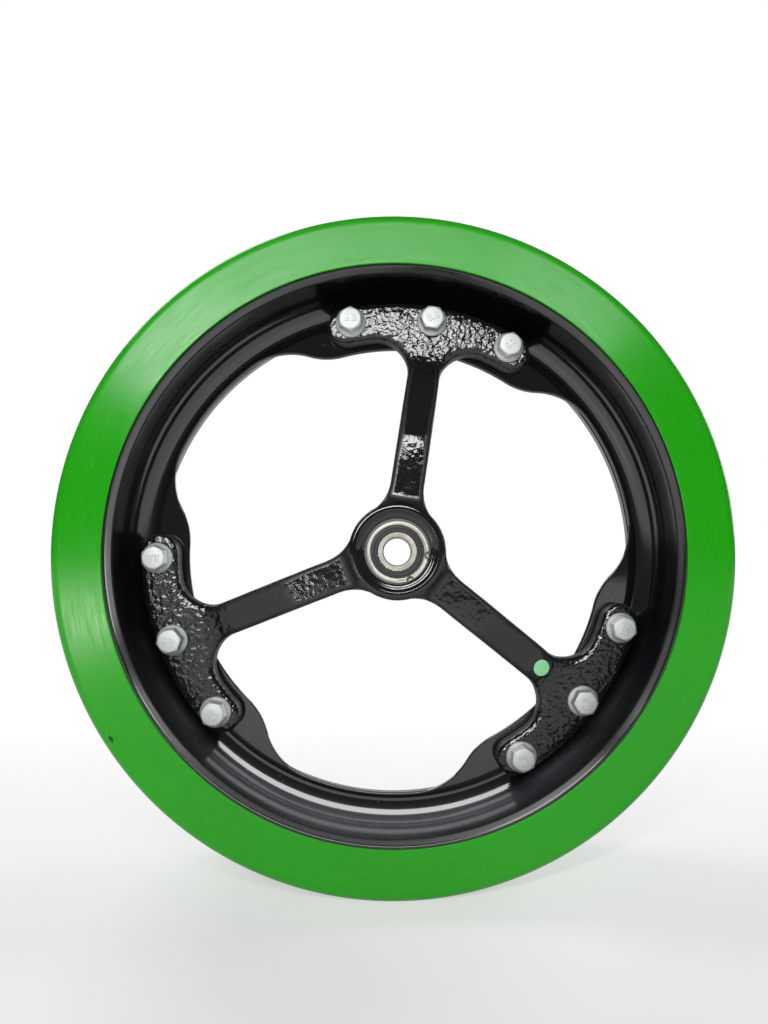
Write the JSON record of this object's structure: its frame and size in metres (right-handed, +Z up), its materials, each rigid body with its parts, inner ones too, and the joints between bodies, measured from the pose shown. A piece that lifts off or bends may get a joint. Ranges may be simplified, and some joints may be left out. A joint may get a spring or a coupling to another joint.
{
  "type": "planter depth wheel",
  "caption": "Planter depth wheel: a solid tyre bonded on a dished pressed rim, bolted to a cast spoked hub that turns on a sealed ball bearing.",
  "frame": {"origin": "on the wheel's axis, halfway across the tyre", "axes": "+Y along the axis, from the bolt heads' side to the nuts' side; +Z up; +X right seen from the bolt heads' side"},
  "size_m": [0.4063, 0.1142, 0.4064],
  "materials": {
    "green_polyurethane": "satin, turned",
    "gloss_black_paint": "high gloss",
    "black_casting": "gloss black paint over a rough casting",
    "zinc_plate": "bright zinc",
    "spring_steel": "black oxide",
    "bearing_steel": "ground",
    "seal_rubber": "matt",
    "cage_nylon": "matt"
  },
  "bodies": {
    "spindle_ring": {"bearing_inner_ring": "bearing_steel"},
    "wheel": {"tyre": "green_polyurethane", "front_rim_half": "gloss_black_paint", "rear_rim_half": "gloss_black_paint", "spoke_hub": "black_casting", "flange_bolts": "zinc_plate", "flange_nuts": "zinc_plate", "circlip": "spring_steel", "bearing_outer_ring": "bearing_steel", "front_seal": "seal_rubber", "rear_seal": "seal_rubber"},
    "ball_set": {"front_cage": "cage_nylon", "rear_cage": "cage_nylon", "front_ball_1": "bearing_steel", "front_ball_2": "bearing_steel", "front_ball_3": "bearing_steel", "front_ball_4": "bearing_steel", "front_ball_5": "bearing_steel", "front_ball_6": "bearing_steel", "front_ball_7": "bearing_steel", "front_ball_8": "bearing_steel", "rear_ball_1": "bearing_steel", "rear_ball_2": "bearing_steel", "rear_ball_3": "bearing_steel", "rear_ball_4": "bearing_steel", "rear_ball_5": "bearing_steel", "rear_ball_6": "bearing_steel", "rear_ball_7": "bearing_steel", "rear_ball_8": "bearing_steel"}
  },
  "joints": [
    {"name": "wheel_spin", "type": "hinge", "parent": "spindle_ring", "child": "wheel", "pos_m": [0, -0.0294, 0], "axis": [0, 1, 0], "continuous": true},
    {"name": "ball_set_spin", "type": "hinge", "parent": "spindle_ring", "child": "ball_set", "pos_m": [0, -0.0294, 0], "axis": [0, 1, 0], "continuous": true}
  ],
  "couplings": [
    {"joint": "ball_set_spin", "follows": "wheel_spin", "ratio": 0.6114}
  ]
}
